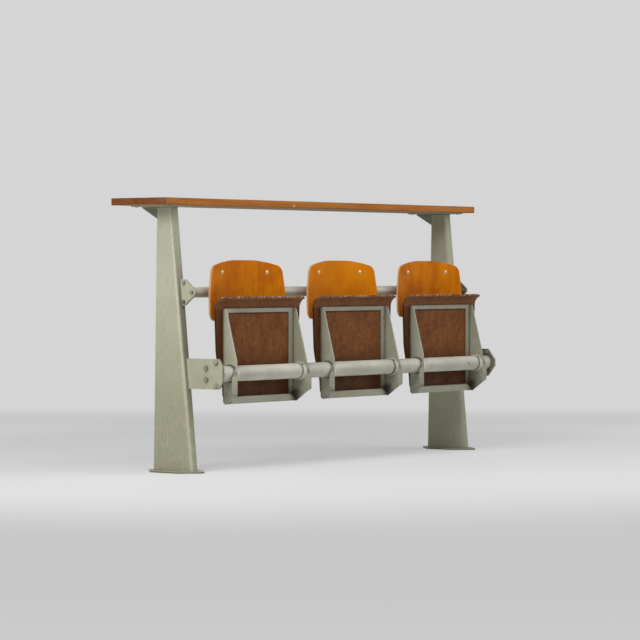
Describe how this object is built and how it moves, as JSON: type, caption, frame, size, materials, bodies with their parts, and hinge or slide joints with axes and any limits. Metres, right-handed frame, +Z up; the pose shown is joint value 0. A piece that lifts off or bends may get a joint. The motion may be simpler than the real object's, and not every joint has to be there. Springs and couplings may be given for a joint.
{
  "type": "lecture hall bench",
  "caption": "Lecture hall bench with tip-up plywood seats on a shared tube, curved backrests on a rail and a long writing board carried by tapered folded sheet legs.",
  "frame": {"origin": "on the floor, at the middle of the bounding box's length and depth", "axes": "+X along the bench towards the sitter's left hand, -Y the side where the sitter's legs go, +Y towards the writing board's users behind, +Z up"},
  "size_m": [1.96, 0.446, 1],
  "materials": {
    "board": "clear lacquered oak, worn",
    "back_ply": "amber lacquered moulded plywood, glossy",
    "seat_ply": "brown moulded plywood, satin, worn edges",
    "paint": "grey-green satin paint on folded sheet steel",
    "tube_paint": "light grey-green satin paint on steel tube",
    "steel": "dull zinc plated steel",
    "bush": "dark nylon"
  },
  "bodies": {
    "stand": {"desk_board": "board", "desk_edging": "board", "left_leg": "paint", "left_top_plate": "paint", "left_gusset": "paint", "left_foot_plate": "paint", "left_rail_bracket": "paint", "left_seat_bracket": "paint", "right_leg": "paint", "right_top_plate": "paint", "right_gusset": "paint", "right_foot_plate": "paint", "right_rail_bracket": "paint", "right_seat_bracket": "paint", "back_rail": "tube_paint", "seat_tube": "tube_paint", "rail_end_plates": "paint", "tube_flanges": "paint", "rail_bolts": "steel", "flange_bolts": "steel", "desk_screws": "steel", "stop_pins": "steel", "back_bolts": "steel", "backrest_left": "back_ply", "back_straps_left": "paint", "backrest_middle": "back_ply", "back_straps_middle": "paint", "backrest_right": "back_ply", "back_straps_right": "paint"},
    "seat_left": {"seat_frame_left": "paint", "seat_shell_left": "seat_ply", "seat_rings_left": "paint", "seat_bushes_left": "bush", "seat_screws_left": "steel"},
    "seat_middle": {"seat_frame_middle": "paint", "seat_shell_middle": "seat_ply", "seat_rings_middle": "paint", "seat_bushes_middle": "bush", "seat_screws_middle": "steel"},
    "seat_right": {"seat_frame_right": "paint", "seat_shell_right": "seat_ply", "seat_rings_right": "paint", "seat_bushes_right": "bush", "seat_screws_right": "steel"}
  },
  "joints": [
    {"name": "seat_left_tip", "type": "hinge", "parent": "stand", "child": "seat_left", "pos_m": [-0.58, -0.181, 0.361], "axis": [1, 0, 0], "range_deg": [0, 84]},
    {"name": "seat_middle_tip", "type": "hinge", "parent": "stand", "child": "seat_middle", "pos_m": [0, -0.181, 0.361], "axis": [1, 0, 0], "range_deg": [0, 84]},
    {"name": "seat_right_tip", "type": "hinge", "parent": "stand", "child": "seat_right", "pos_m": [0.58, -0.181, 0.361], "axis": [1, 0, 0], "range_deg": [0, 84]}
  ]
}
